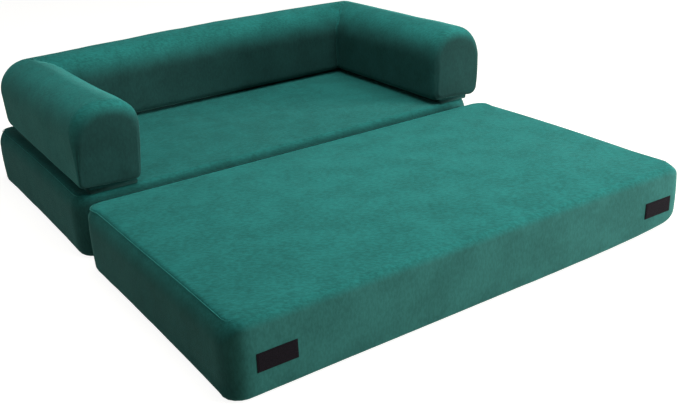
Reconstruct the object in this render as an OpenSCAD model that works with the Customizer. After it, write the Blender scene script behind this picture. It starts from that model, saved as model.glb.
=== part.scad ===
/* [Mattresses] */
// Width of each mattress, side to side
bed_w = 1800; // [1400:10:2200]
// Depth of each mattress, front to back
bed_d = 1040; // [800:10:1200]
// Thickness of each mattress at its edges
bed_t = 236; // [180:1:300]
// Space between the two mattresses when they lie open
gap = 50; // [40:1:120]
// Rise of the front mattress in the middle of its top
front_crown = 12; // [2:1:20]
// Rise of the rear mattress in the middle of its top
rear_crown = 6; // [1:1:10]
// How far the upright faces are drawn in between the corners
side_draw = 4; // [0:0.5:8]
// How far the upright faces swell at half their height
belly = 4; // [1:0.5:8]
// Radius of the two upright corners at the back of each mattress
corner_r = 70; // [55:1:100]
// Radius of the two upright corners at the front of each mattress
front_corner_r = 42; // [40:1:80]
// Radius of the edge along the top seam
seam_r = 26; // [16:1:30]
// Radius of the edge round the underside
base_r = 28; // [20:1:30]

/* [Bolster] */
// Width of an arm and of the back, from one face to the other
arm_w = 262; // [210:1:300]
// Height of the bolster without its base pad
bolster_h = 298; // [240:1:400]
// How much farther out than the mattress's side each side of the bolster is, when it lies centred
bolster_over = 8; // [0:1:40]
// How far the loose bolster lies to the right of the mattress's middle
bolster_shift = 35; // [0:1:40]
// How far the back of the bolster stands in from the back of the mattress
bolster_in = 35; // [0:1:60]
// How far the front of the arms stands back from the front of the mattress
arm_back = 2; // [0:1:40]
// Radius of the edge round the front of each arm
arm_end_r = 66; // [40:1:80]
// Radius of the edges along the underside
toe_r = 56; // [35:1:60]
// Radius of the two upright inside corners
inside_r = 10; // [6:1:16]
// Rise of the bolster's top half way along the back
back_crown = 6; // [0:1:12]
// Thickness of the base pad under the bolster
base_pad_t = 18; // [14:1:40]
// How far the base pad stands in from the bolster's upright sides
base_pad_in = 40; // [30:1:60]
// How far the base pad stands back from the front of the arms
base_pad_back = 16; // [8:1:60]

/* [Covers and foam] */
// Thickness of a mattress cover with its wadding, at the sides
cover_t = 20; // [18:1:28]
// Thickness of a mattress cover with its wadding, on top
cover_top_t = 10; // [6:1:14]
// Thickness of the bolster's cover with its wadding
sleeve_t = 14; // [12:1:18]
// How far the foam stops short of the front of each arm
arm_foam_back = 40; // [38:1:60]
// Thickness of the non-slip panel under each mattress
panel_t = 6; // [5:0.5:8]
// How far the non-slip panel stands in from the mattress's sides
panel_in = 62; // [50:1:90]
// Slack between a foam core and its cover
foam_slack = 0.3; // [0.1:0.1:1]

/* [Fastenings] */
// Width of a hook-and-loop pad
pad_w = 126; // [80:1:200]
// Height of a hook-and-loop pad
pad_h = 57; // [40:1:80]
// Thickness of a hook-and-loop pad
pad_t = 4; // [3:0.5:6]
// How far a pad stands proud of the widest line of its cover
pad_proud = 1.5; // [0.5:0.5:2]
// Distance from the mattress's left side to the nearer edge of the left pad
pad_left_in = 91; // [75:1:300]
// Distance from the mattress's right side to the nearer edge of the right pad
pad_right_in = 66; // [66:1:300]
// Height of a pad's lower edge above the floor
pad_z = 80; // [60:1:110]
// Width of a strap behind the bolster
strap_w = 110; // [60:1:180]
// Thickness of a strap and of the hinge strip
web_t = 2; // [1:0.5:4]
// How far the middle of the hinge strip hangs down
strip_sag = 14; // [4:1:24]

/* [Zips] */
// Distance from a mattress's side to the nearer end of its zip
zip_in = 200; // [100:5:400]
// Distance from the bolster's side to the nearer end of its zip
bolster_zip_in = 308; // [280:1:500]
// Height of a zip's tape
tape_h = 30; // [24:1:40]
// Thickness of a zip's tape
tape_t = 1.5; // [1:0.1:2]
// Radius of a zip's closed row of teeth
teeth_r = 2.4; // [2:0.1:3]
// Length of a zip's slider
slider_l = 22; // [16:1:30]
// Length of the pull tab that hangs from the slider
tab_l = 30; // [20:1:40]
// Height of a mattress's zip above the floor
zip_z = 44; // [40:1:50]
// Height of the bolster's zip above its underside
bolster_zip_z = 90; // [70:1:120]

/* [Hidden] */
$fn = 64;

velvet = [0.09, 0.37, 0.34];
velvet_dark = [0.06, 0.24, 0.22];
foam = [0.93, 0.90, 0.80];
black = [0.10, 0.10, 0.11];
nickel = [0.72, 0.72, 0.70];

// Small distances and angles that every piece shares
seat = 0.3;
overrun = 20;
quarter = 90;
half_turn = 180;

// Places along Y: the origin is on the floor under the middle of the rear mattress, and the fold
// lies half way between the two mattresses
edge_y = -bed_d / 2;
rear_y = bed_d / 2;
fold_y = edge_y - gap / 2;

// The bolster's own places
bolster_hw = bed_w / 2 + bolster_over;
arm_front_y = edge_y + arm_back;
bolster_z = bed_t + base_pad_t;
half_arm = arm_w / 2;
wall_h = bolster_h - half_arm;
corner_x = bolster_hw - half_arm;
bolster_rear_y = rear_y - bolster_in;
corner_y = bolster_rear_y - half_arm;

// Steps of the soft forms, and the shares that shape them
arc_n = 5;
side_n = 6;
round_n = 4;
belly_n = 3;
top_shares = [0.97, 0.88, 0.72, 0.48, 0.22];
crown_power = 3;
toe_n = 3;
arch_n = 12;
end_n = 4;
bow_n = 8;
bend_n = 7;
back_n = 5;
arm_shares = [0.3, 0.65];
toe_lift_share = 0.4;
face_share = 0.45;
face_dome = 5;

// One round corner of an outline, as points; k counts round from the one at the rear right
function corner(hw, hd, r, k) = [
    for (i = [0:arc_n])
    let (a = (k + i / arc_n) * quarter, sx = (k == 0 || k == 3) ? 1 : -1, sy = k < 2 ? 1 : -1)
    [sx * (hw - r) + r * cos(a), sy * (hd - r) + r * sin(a)]
];

// The points between two corners, drawn in most half way along
function drawn_side(a, b, k) = [
    for (i = [1:side_n]) let (s = i / (side_n + 1), pull = side_draw * (1 - pow(2 * s - 1, 2)))
    a + (b - a) * s - pull * [cos((k + 1) * quarter), sin((k + 1) * quarter)]
];

// The whole outline of a mattress, moved in by the distance inset
function outline(inset) = let (
    hw = bed_w / 2 - inset, hd = bed_d / 2 - inset,
    c = [for (k = [0:3]) corner(hw, hd, (k < 2 ? corner_r : front_corner_r) - inset, k)]
) [for (k = [0:3]) each concat(c[k], drawn_side(c[k][arc_n], c[(k + 1) % 4][0], k))];

// How far the side of a mattress lies inside its widest line at the height z
function swell(z) = belly * (1 - sin(half_turn * z / bed_t));

// The side of a mattress from the underside up, as pairs of inset and height
side_steps = concat(
    [for (i = [0:round_n]) let (a = quarter * i / round_n, z = base_r * (1 - cos(a)))
        [base_r * (1 - sin(a)) + swell(z), z]],
    [for (i = [1:belly_n]) let (z = base_r + (bed_t - base_r - seam_r) * i / (belly_n + 1))
        [swell(z), z]],
    [for (i = [0:round_n]) let (a = quarter * i / round_n, z = bed_t - seam_r * (1 - sin(a)))
        [seam_r * (1 - cos(a)) + swell(z), z]]
);

// Height of the crowned top over one point of it
function crowned(x, y, rise) = bed_t
    + rise * (1 - pow(abs(2 * x / bed_w), crown_power)) * (1 - pow(abs(2 * y / bed_d), crown_power));

function form_points(rise) = let (rim = outline(side_steps[len(side_steps) - 1][0])) concat(
    [for (s = side_steps) each [for (p = outline(s[0])) [p[0], p[1], s[1]]]],
    [for (s = top_shares) each [for (p = s * rim) [p[0], p[1], crowned(p[0], p[1], rise)]]],
    [[0, 0, crowned(0, 0, rise)]]
);

// Triangles between rings of n points each, where every ring closes on itself
function ring_faces(rings, n) = [
    for (j = [0:rings - 2], i = [0:n - 1]) let (a = j * n + i, b = j * n + (i + 1) % n)
    each [[a, a + n, b], [b, a + n, b + n]]
];

// A mattress's outer form, centred, with its underside on the floor
module mattress_form(rise) {
    pts = form_points(rise);
    n = len(outline(0));
    rings = (len(pts) - 1) / n;
    last = (rings - 1) * n;
    polyhedron(pts, concat(
        [[for (i = [0:n - 1]) i]],
        ring_faces(rings, n),
        [for (i = [0:n - 1]) [last + i, rings * n, last + (i + 1) % n]]
    ));
}

module at_front() translate([0, 2 * fold_y, 0]) children();
module rear_form() mattress_form(rear_crown);
module front_form() at_front() mattress_form(front_crown);

// A flat plate with round corners, moved in from the mattress's outline
module plate(inset, z0, z1) {
    r = max(corner_r - inset, seam_r);
    w = bed_w - 2 * inset;
    d = bed_d - 2 * inset;
    translate([0, 0, z0]) linear_extrude(z1 - z0) {
        square([w - 2 * r, d], center = true);
        square([w, d - 2 * r], center = true);
        for (sx = [-1, 1], sy = [-1, 1]) translate([sx * (w / 2 - r), sy * (d / 2 - r)]) circle(r);
    }
}

// The foam block of a mattress, or with slack the room for it
foam_in = cover_t + side_draw;
module foam_block(slack) plate(foam_in - slack, panel_t + seat - slack, bed_t - cover_top_t + slack);

// The non-slip panel closes the mouth in the cover's underside
module base_panel(slack) plate(panel_in - slack, -slack, panel_t + slack);

// Each of these sets its children on an upright face, which then looks along -Y at zero
module on_rear_face() translate([0, rear_y, 0]) mirror([0, 1, 0]) children();
module on_front_face() at_front() translate([0, -rear_y, 0]) children();
module on_gap_face() at_front() on_rear_face() children();

// A hook-and-loop pad, and the shallow bed for it; side is -1 on the left and 1 on the right
function pad_x(side) = side * (bed_w - pad_w) / 2 + (side < 0 ? pad_left_in : -pad_right_in);
module pad_block(side, y0, y1) {
    translate([pad_x(side) - pad_w / 2, y0, pad_z]) cube([pad_w, y1 - y0, pad_h]);
}
module loop_pad(side) pad_block(side, -pad_proud, pad_t - pad_proud);
module loop_pad_bed(side) pad_block(side, -overrun, pad_t - pad_proud);

// A zip lies behind its face in a slot that is open to the front
module zip_tape(l, depth) {
    translate([-l / 2, depth, -tape_h / 2]) cube([l, tape_t, tape_h]);
    translate([-l / 2, depth, 0]) rotate([0, quarter, 0]) cylinder(r = teeth_r, h = l);
}
module zip_slot(l, depth) {
    translate([-l / 2, -overrun, -tape_h / 2]) cube([l, overrun + depth + tape_t, tape_h]);
    translate([-l / 2, depth, 0]) rotate([0, quarter, 0]) cylinder(r = teeth_r, h = l);
}

// A zip's slider: a body that straddles the teeth, a bail and a pull tab that hangs down
slider_w_share = 0.4;
slider_w = tape_h * slider_w_share;
slider_t = 2 * web_t;
tab_w_share = 0.55;
tab_w = slider_w * tab_w_share;
tab_t = web_t / 2;
eye_share = 0.2;
module zip_slider(l, depth) {
    y = depth - teeth_r - seat;
    translate([l / 2 - 2 * slider_l, y - slider_t, 0]) difference() {
        union() {
            translate([0, 0, -slider_w / 2]) cube([slider_l, slider_t, slider_w]);
            translate([slider_l / 2, 0, 0]) rotate([quarter, 0, 0]) cylinder(r = tab_w / 2, h = tab_t);
            translate([slider_l / 2 - tab_w / 2, -2 * tab_t, -tab_l]) cube([tab_w, tab_t, tab_l]);
            translate([slider_l / 2, -tab_t, 0]) rotate([quarter, 0, 0])
                cylinder(r = tab_w / 2, h = tab_t);
        }
        translate([slider_l / 2, 0, -tab_l + tab_w / 2]) rotate([quarter, 0, 0])
            cylinder(r = tab_w * eye_share, h = overrun);
    }
}
zip_depth = side_draw + belly;
zip_l = bed_w - 2 * zip_in;
bolster_zip_l = 2 * (bolster_hw - bolster_zip_in);

module rear_cover() color(velvet) difference() {
    rear_form();
    foam_block(foam_slack);
    base_panel(seat);
    on_rear_face() {
        for (side = [-1, 1]) loop_pad_bed(side);
        translate([0, 0, zip_z]) zip_slot(zip_l, zip_depth);
    }
}

module rear_foam_core() color(foam) foam_block(0);
module rear_base_panel() color(black) base_panel(0);
module rear_zip_tape() color(black) on_rear_face() translate([0, 0, zip_z]) zip_tape(zip_l, zip_depth);
module rear_zip_slider() color(nickel) on_rear_face() translate([0, 0, zip_z])
    zip_slider(zip_l, zip_depth);
module rear_loop_pad_left() color(black) on_rear_face() loop_pad(-1);
module rear_loop_pad_right() color(black) on_rear_face() loop_pad(1);

module front_cover() color(velvet) difference() {
    front_form();
    at_front() {
        foam_block(foam_slack);
        base_panel(seat);
    }
    on_front_face() for (side = [-1, 1]) loop_pad_bed(side);
    on_gap_face() translate([0, 0, zip_z]) zip_slot(zip_l, zip_depth);
}

module front_foam_core() color(foam) at_front() foam_block(0);
module front_base_panel() color(black) at_front() base_panel(0);
module front_zip_tape() color(black) on_gap_face() translate([0, 0, zip_z])
    zip_tape(zip_l, zip_depth);
module front_zip_slider() color(nickel) on_gap_face() translate([0, 0, zip_z])
    zip_slider(zip_l, zip_depth);
module front_loop_pad_left() color(black) on_front_face() loop_pad(-1);
module front_loop_pad_right() color(black) on_front_face() loop_pad(1);

// The hinge strip is a shallow bow of cloth between the two top seams; s runs along it from 0 to 1
strip_steps = [for (i = [0:bow_n]) 2 * i / bow_n - 1];
function strip_ring(s) = let (
    z = bed_t - seam_r,
    reach = gap / 2 + swell(z) + side_draw * (1 - pow(2 * s - 1, 2)) - seat,
    x = (2 * s - 1) * (bed_w / 2 - max(corner_r, front_corner_r)),
    top = [for (t = strip_steps) [x, fold_y + t * reach, z - strip_sag * (1 - t * t)]]
) concat(top, [for (i = [0:bow_n]) top[bow_n - i] - [0, 0, web_t]]);

module hinge_strip() {
    rings = [for (i = [0:side_n + 1]) strip_ring(i / (side_n + 1))];
    n = len(rings[0]);
    last = (len(rings) - 1) * n;
    color(velvet_dark) polyhedron([for (r = rings) each r], concat(
        ring_faces(len(rings), n),
        [[for (i = [0:n - 1]) i], [for (i = [0:n - 1]) last + n - 1 - i]]
    ));
}

// Section of the bolster as points, in from its outer face and up from its underside
function arch_points(inset) = let (
    r = max(toe_r - inset, inside_r), low = toe_lift_share * inset
) concat(
    [for (i = [0:toe_n]) let (a = -quarter * (1 + i / toe_n))
        [inset + r + r * cos(a), low + r + r * sin(a)]],
    [for (i = [0:arch_n]) let (a = half_turn * (1 - i / arch_n))
        [half_arm + (half_arm - inset) * cos(a), wall_h + (half_arm - inset) * sin(a)]],
    [for (i = [0:toe_n]) let (a = -quarter * i / toe_n)
        [arm_w - inset - r + r * cos(a), low + r + r * sin(a)]]
);

// The section stood across an arm; side is -1 on the left and 1 on the right
function arm_ring(side, y, inset) = [
    for (p = arch_points(inset)) [side * (bolster_hw - p[0]), y, bolster_z + p[1]]
];

// The section turned by the angle a round a rear corner
function bend_ring(side, a) = [
    for (p = arch_points(0)) let (r = max(half_arm - p[0], inside_r), back = p[0] + r)
    [side * (bolster_hw - back + r * cos(a)), bolster_rear_y - back + r * sin(a), bolster_z + p[1]]
];

// The section across the back, where the top rises a little half way along
function back_ring(x) = [
    for (p = arch_points(0))
    let (rise = back_crown * (1 - pow(x / corner_x, 2)) * p[1] / bolster_h)
    [x, bolster_rear_y - p[0], bolster_z + p[1] + rise]
];

// The rings of one arm from its front to its rear corner
end_y = arm_front_y + face_dome + arm_end_r;
function arm_rings(side) = concat(
    [arm_ring(side, arm_front_y + face_dome * face_share,
        arm_end_r + (half_arm - arm_end_r) * face_share)],
    [for (i = [0:end_n]) let (a = quarter * (1 - i / end_n))
        arm_ring(side, end_y - arm_end_r * sin(a), arm_end_r * (1 - cos(a)))],
    [for (s = arm_shares) arm_ring(side, end_y + (corner_y - end_y) * s, 0)],
    [for (i = [0:bend_n]) bend_ring(side, quarter * i / bend_n)]
);

bolster_rings = let (right = arm_rings(1), n = len(right)) concat(
    arm_rings(-1),
    [for (i = [1:back_n]) back_ring(corner_x * (2 * i / (back_n + 1) - 1))],
    [for (i = [1:n]) right[n - i]]
);

// The bolster is drawn centred, and lies shifted on the mattress
module on_bed() translate([bolster_shift, 0, 0]) children();
module on_back_face() on_bed() translate([0, bolster_rear_y, bolster_z + bolster_zip_z])
    mirror([0, 1, 0]) children();

// Middle of the front face of an arm
function arm_nose(side) = [side * corner_x, arm_front_y, bolster_z + wall_h / 2 + half_arm / 2];

module bolster_form() {
    n = len(bolster_rings[0]);
    rings = len(bolster_rings);
    last = (rings - 1) * n;
    polyhedron(concat([for (r = bolster_rings) each r], [arm_nose(-1), arm_nose(1)]), concat(
        ring_faces(rings, n),
        [for (i = [0:n - 1]) [i, (i + 1) % n, rings * n]],
        [for (i = [0:n - 1]) [last + (i + 1) % n, last + i, rings * n + 1]]
    ));
}

// The same section as a true outline, moved in by the distance inset
module arch_plan(inset) {
    translate([half_arm, wall_h]) circle(half_arm - inset);
    translate([inset, toe_r]) square([arm_w - 2 * inset, wall_h - toe_r]);
    translate([toe_r, inset]) square([arm_w - 2 * toe_r, toe_r]);
    for (x = [toe_r, arm_w - toe_r]) translate([x, toe_r]) circle(toe_r - inset);
}

// The foam of an arm: a straight run and the round of its rear corner
module arm_foam(side, slack) {
    run = corner_y - arm_front_y - arm_foam_back + slack;
    translate([side * corner_x, corner_y, bolster_z]) {
        translate([-half_arm, 0, 0]) rotate([quarter, 0, 0]) linear_extrude(run)
            arch_plan(sleeve_t - slack);
        rotate([0, 0, side < 0 ? quarter : 0]) rotate_extrude(angle = quarter) intersection() {
            translate([-half_arm, 0]) arch_plan(sleeve_t - slack);
            square([half_arm, bolster_h]);
        }
    }
}

// The foam of the back, from corner to corner
module back_run(slack) {
    l = 2 * (corner_x - seat + slack);
    translate([-l / 2, bolster_rear_y - arm_w, bolster_z]) rotate([quarter, 0, quarter])
        linear_extrude(l) arch_plan(sleeve_t - slack);
}

module bolster_cover() color(velvet) difference() {
    on_bed() {
        difference() {
            bolster_form();
            for (side = [-1, 1]) arm_foam(side, foam_slack);
            back_run(foam_slack);
        }
    }
    on_back_face() zip_slot(bolster_zip_l, web_t);
}

module left_arm_foam_core() color(foam) on_bed() arm_foam(-1, 0);
module right_arm_foam_core() color(foam) on_bed() arm_foam(1, 0);
module back_foam_core() color(foam) on_bed() difference() {
    back_run(0);
    for (side = [-1, 1]) arm_foam(side, seat);
}
module bolster_zip_tape() color(black) on_back_face() zip_tape(bolster_zip_l, web_t);
module bolster_zip_slider() color(nickel) on_back_face() zip_slider(bolster_zip_l, web_t);

// Plan of the base pad: the bolster's own plan, moved in
pad_hw = bolster_hw - base_pad_in;
pad_corner_r = half_arm - base_pad_in;
module bolster_base_pad() color(velvet_dark) difference() {
    on_bed() translate([0, 0, bed_t]) linear_extrude(base_pad_t) difference() {
        union() {
            for (side = [-1, 1]) translate([side * (pad_hw - pad_corner_r), corner_y])
                circle(pad_corner_r);
            translate([-pad_hw, arm_front_y + base_pad_back])
                square([2 * pad_hw, corner_y - arm_front_y - base_pad_back]);
            translate([-corner_x, corner_y]) square([2 * corner_x, pad_corner_r]);
        }
        translate([arm_w - base_pad_in - bolster_hw, arm_front_y])
            square([2 * (bolster_hw - arm_w + base_pad_in),
                bolster_rear_y - arm_w + base_pad_in - arm_front_y]);
    }
    translate([0, 0, seat]) rear_form();
}

// A strap runs back from the base pad over the mattress's rear seam and down to its pad
strap_reach_share = 0.9;
strap_low = pad_z + pad_h * (1 - strap_reach_share);
strap_y = rear_y + pad_proud + seat + web_t;
bend_r = seam_r + web_t;
module strap(side) color(black)
    translate([pad_x(side) - strap_w / 2, 0, 0]) rotate([quarter, 0, quarter])
    linear_extrude(strap_w) {
        run_y = bolster_rear_y - base_pad_in;
        strap_z = crowned(abs(pad_x(side)) - strap_w / 2, run_y, rear_crown) + 2 * seat + web_t;
        translate([run_y, strap_z - web_t]) square([strap_y - bend_r - run_y, web_t]);
        translate([strap_y - web_t, strap_low]) square([web_t, strap_z - bend_r - strap_low]);
        translate([strap_y - bend_r, strap_z - bend_r]) intersection() {
            difference() {
                circle(bend_r);
                circle(seam_r);
            }
            square(bend_r);
        }
    }
module strap_left() strap(-1);
module strap_right() strap(1);

rear_cover();
rear_foam_core();
rear_base_panel();
rear_zip_tape();
rear_zip_slider();
rear_loop_pad_left();
rear_loop_pad_right();
hinge_strip();
front_cover();
front_foam_core();
front_base_panel();
front_zip_tape();
front_zip_slider();
front_loop_pad_left();
front_loop_pad_right();
bolster_cover();
back_foam_core();
left_arm_foam_core();
right_arm_foam_core();
bolster_base_pad();
bolster_zip_tape();
bolster_zip_slider();
strap_left();
strap_right();
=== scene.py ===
# %% [markdown]
# A folding sleeper chair in velvet, lying open as a bed. The construction is already fixed: two
# foam mattresses joined by a cloth strip, and a loose U-shaped bolster that is both arms and the
# back. This lesson dresses that construction. Every soft piece is modelled again as a padded form,
# and every surface gets a finish made of nodes, so that nothing depends on a picture file.

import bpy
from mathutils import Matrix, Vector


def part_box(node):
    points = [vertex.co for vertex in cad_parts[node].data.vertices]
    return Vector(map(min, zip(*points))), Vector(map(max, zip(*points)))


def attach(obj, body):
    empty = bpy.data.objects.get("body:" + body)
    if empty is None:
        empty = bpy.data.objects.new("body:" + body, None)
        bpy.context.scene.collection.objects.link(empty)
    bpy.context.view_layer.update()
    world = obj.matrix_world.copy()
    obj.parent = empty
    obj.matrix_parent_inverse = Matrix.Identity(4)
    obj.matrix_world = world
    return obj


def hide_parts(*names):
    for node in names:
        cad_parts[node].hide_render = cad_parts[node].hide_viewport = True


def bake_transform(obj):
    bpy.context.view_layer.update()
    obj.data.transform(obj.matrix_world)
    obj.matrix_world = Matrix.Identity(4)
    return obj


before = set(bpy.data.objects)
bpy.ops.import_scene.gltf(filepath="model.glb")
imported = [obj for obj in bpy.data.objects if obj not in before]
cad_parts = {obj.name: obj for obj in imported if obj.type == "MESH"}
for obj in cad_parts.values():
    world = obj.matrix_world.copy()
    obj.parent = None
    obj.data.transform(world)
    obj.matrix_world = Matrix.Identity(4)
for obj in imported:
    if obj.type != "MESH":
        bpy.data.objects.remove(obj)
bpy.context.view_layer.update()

from math import copysign, cos, exp, pi, radians, sin

import bmesh
import bpy
import numpy as np
from mathutils import Matrix, Vector, noise

# %% [markdown]
# The camera comes first, because every later choice is judged through it. The photograph was taken
# from the front left, a little above the height of a standing person's chest, and the camera was
# tipped a few degrees to one side. A camera's turn is easiest to write as three directions: where
# it looks, which way is right and which way is up. They become the columns of its matrix.

# %% Camera
scene = bpy.context.scene
EYE = Vector((-1.7073, -3.4412, 1.4133))
LOOK_DOWN = 0.4020
LOOK_RIGHT = 0.5714
TIP = -0.0506
FOCAL_PIXELS = 917.4
FRAME_PIXELS = 679
SENSOR = 36.0


def camera_turn(down, right, tip):
    ahead = Vector((sin(right) * cos(down), cos(right) * cos(down), -sin(down)))
    level = Vector((cos(right), -sin(right), 0))
    above = level.cross(ahead)
    side = cos(tip) * level + sin(tip) * above
    top = cos(tip) * above - sin(tip) * level
    return Matrix((side, top, -ahead)).transposed().to_4x4()


def new_object(name, data):
    thing = bpy.data.objects.new(name, data)
    scene.collection.objects.link(thing)
    return thing


camera = new_object("camera", bpy.data.cameras.new("camera"))
camera.matrix_world = Matrix.Translation(EYE) @ camera_turn(LOOK_DOWN, LOOK_RIGHT, TIP)
camera.data.sensor_width = SENSOR
camera.data.lens = FOCAL_PIXELS / FRAME_PIXELS * SENSOR
scene.camera = camera
scene.view_settings.view_transform = "Standard"
print("lens of", round(camera.data.lens, 1), "mm at", [round(c, 2) for c in EYE])

# %% [markdown]
# Materials are built from nodes, and the same few lines come back in each of them. Small helpers
# keep the recipes readable. One adds a node and sets its values, and one feeds a socket, either with
# a number or colour or with what another node puts out. The others are the steps that most cloths
# share: a mask from a range, a sum, a blend of two colours, a field of noise and a raised surface.


# %% Helpers for nodes
def add(tree, kind, **values):
    """Adds a node; each value is one of its own settings or goes into one of its sockets."""
    node = tree.nodes.new(kind)
    for name, value in values.items():
        if name in node.bl_rna.properties:
            setattr(node, name, value)
        else:
            node.inputs[name.replace("_", " ")].default_value = value
    return node


def feed(tree, value, socket):
    if isinstance(value, bpy.types.NodeSocket):
        tree.links.new(value, socket)
    else:
        socket.default_value = value


def ramp(tree, source, low, high, start=0.0, end=1.0):
    """Maps a value between low and high onto start to end, with soft ends."""
    node = add(tree, "ShaderNodeMapRange", interpolation_type="SMOOTHSTEP")
    for socket, value in zip(node.inputs, (source, low, high, start, end)):
        feed(tree, value, socket)
    return node.outputs[0]


def maths(tree, operation, a, b):
    node = add(tree, "ShaderNodeMath", operation=operation)
    for socket, value in zip(node.inputs, (a, b)):
        feed(tree, value, socket)
    return node.outputs[0]


def mix_colors(tree, share, first, second, **settings):
    node = add(tree, "ShaderNodeMix", data_type="RGBA", **settings)
    for place, value in ((0, share), (6, first), (7, second)):
        feed(tree, value, node.inputs[place])
    return node.outputs[2]


def noise_field(tree, place, scale, detail, roughness=0.5):
    field = add(tree, "ShaderNodeTexNoise", Detail=detail, Roughness=roughness)
    feed(tree, place, field.inputs["Vector"])
    feed(tree, scale, field.inputs["Scale"])
    return field.outputs["Fac"]


def raise_surface(tree, shader, height, strength, depth):
    bump = add(tree, "ShaderNodeBump", Strength=strength, Distance=depth)
    feed(tree, height, bump.inputs["Height"])
    feed(tree, bump.outputs[0], shader["Normal"])


print("seven helpers for nodes")

# %% [markdown]
# A shader node group is a reusable effect with named sockets of its own. It is opened like a new
# material, with an empty tree. A material's tree starts with its shader, the Principled BSDF, and
# what is the same all over the surface, such as the strength of a sheen, is set on it at once.


# %% Helpers for groups and materials
def open_group(name, inputs, outputs):
    """A node group, the sockets that bring its numbers in and those that take its masks out."""
    tree = bpy.data.node_groups.new(name, "ShaderNodeTree")
    for label, value in inputs.items():
        socket = tree.interface.new_socket(label, in_out="INPUT", socket_type="NodeSocketFloat")
        socket.default_value = value
    for label in outputs:
        tree.interface.new_socket(label, in_out="OUTPUT", socket_type="NodeSocketFloat")
    return tree, tree.nodes.new("NodeGroupInput").outputs, tree.nodes.new("NodeGroupOutput").inputs


def empty_tree(owner):
    owner.use_nodes = True
    owner.node_tree.nodes.clear()
    return owner.node_tree


def new_material(name, **finish):
    """A material, its tree and the sockets of its shader."""
    material = bpy.data.materials.new(name)
    tree = empty_tree(material)
    shader = add(tree, "ShaderNodeBsdfPrincipled", **finish)
    feed(tree, shader.outputs[0], add(tree, "ShaderNodeOutputMaterial").inputs[0])
    return material, tree, shader.inputs


def object_place(tree):
    return add(tree, "ShaderNodeTexCoord").outputs["Object"]


print("groups and materials can be opened")

# %% [markdown]
# Velvet is a cut pile: upright fibres about a millimetre long. Where a hand has brushed them they
# lean, and each patch of leaning pile is a little lighter or darker than the next. On the flat tops
# the strokes run across the bed, and on the upright faces they run up and down, as a hand smooths
# them. The effect is shared by every velvet piece, so it is a group. It puts out a mask for the short
# strokes, one for the wide cloudy patches, one for how far a face looks up, one for how far it looks
# out to the left, and a height for the pile itself. Faces that look left across the seat count less.


# %% The brushed pile, as a node group
STROKE_SQUASH = 0.42
INNER_SHARE = 0.35
MIDDLE_BAND = 0.3
PILE_LEAN = 0.8


def stroke_noise(tree, source, scale, length_axis):
    squash = [1.0, 1.0, 1.0]
    squash[length_axis] = STROKE_SQUASH
    mapping = add(tree, "ShaderNodeMapping", Scale=squash)
    feed(tree, source, mapping.inputs[0])
    return noise_field(tree, mapping.outputs[0], scale, 3.0, 0.7)


def brushed_pile_group():
    tree, inlet, outlet = open_group(
        "brushed_pile", {"Turn": 0.0, "Stroke Scale": 150.0, "Cloud Scale": 9.0, "Tuft Scale": 700.0},
        ("Strokes", "Clouds", "Facing Up", "Facing Left", "Height"))
    place = add(tree, "ShaderNodeTexCoord").outputs
    turned = add(tree, "ShaderNodeVectorRotate", rotation_type="Z_AXIS")
    feed(tree, place["Object"], turned.inputs["Vector"])
    feed(tree, inlet["Turn"], turned.inputs["Angle"])
    flat = stroke_noise(tree, turned.outputs[0], inlet["Stroke Scale"], 0)
    upright = stroke_noise(tree, place["Object"], inlet["Stroke Scale"], 2)
    normal, spot = (add(tree, "ShaderNodeSeparateXYZ") for _ in range(2))
    feed(tree, place["Normal"], normal.inputs[0])
    feed(tree, place["Object"], spot.inputs[0])
    # The facing masks below also place painted shade and painted light in the velvet material; Facing Up
    # turns the strokes too.
    facing_up = ramp(tree, normal.outputs["Z"], 0.0, 0.9)
    facing_left = ramp(tree, normal.outputs["X"], -0.35, -0.95)
    outer_side = ramp(tree, spot.outputs["X"], MIDDLE_BAND, -MIDDLE_BAND, INNER_SHARE, 1.0)
    chosen = add(tree, "ShaderNodeMix", data_type="FLOAT")
    for socket, source in zip(chosen.inputs[0:1] + chosen.inputs[2:4], (facing_up, upright, flat)):
        feed(tree, source, socket)
    clouds = noise_field(tree, place["Object"], inlet["Cloud Scale"], 4.0, 0.6)
    tufts = noise_field(tree, place["Object"], inlet["Tuft Scale"], 2.0, 0.7)
    lean = maths(tree, "MULTIPLY", chosen.outputs[0], PILE_LEAN)
    for label, mask in (("Strokes", ramp(tree, chosen.outputs[0], 0.36, 0.64)),
                        ("Clouds", ramp(tree, clouds, 0.34, 0.66)),
                        ("Facing Up", facing_up),
                        ("Facing Left", maths(tree, "MULTIPLY", facing_left, outer_side)),
                        ("Height", maths(tree, "ADD", tufts, lean))):
        feed(tree, mask, outlet[label])
    return tree


brushed_pile = brushed_pile_group()
print("group", brushed_pile.name, "with", len(brushed_pile.nodes), "nodes")

# %% [markdown]
# The velvet material blends a deep and a light teal by those masks. Then light and shade are painted
# into the colour by the way a face looks. A colour to multiply by holds one share for upright faces,
# one for those that look left and one for the top: painted shade on the upright and left faces, and
# painted light on the top. On the bolster the upright faces get the deepest painted shade, so only its
# round top is light. The soft glow where a face turns away from the eye is partly the shader's sheen
# and partly a painted highlight that lightens the colour there.

# %% Velvet
TEAL_DEEP = (0.010, 0.092, 0.078, 1)
TEAL_LIGHT = (0.026, 0.210, 0.183, 1)
SHEEN_TINT = (0.24, 0.78, 0.70, 1)
# Painted shade and light: what upright faces and the top are multiplied by, which also shifts their hue.
UPRIGHT_SHADE_TONE = (1.55, 1.0, 1.05)
TOP_LIGHT_TONE = (0.70, 1.0, 1.05)
STROKE_CONTRAST = (0.24, 0.42)
LIGHT_SHARE = 0.29
CLOUD_SHARE = 0.24
PAINTED_RIM_START = 0.80


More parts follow.
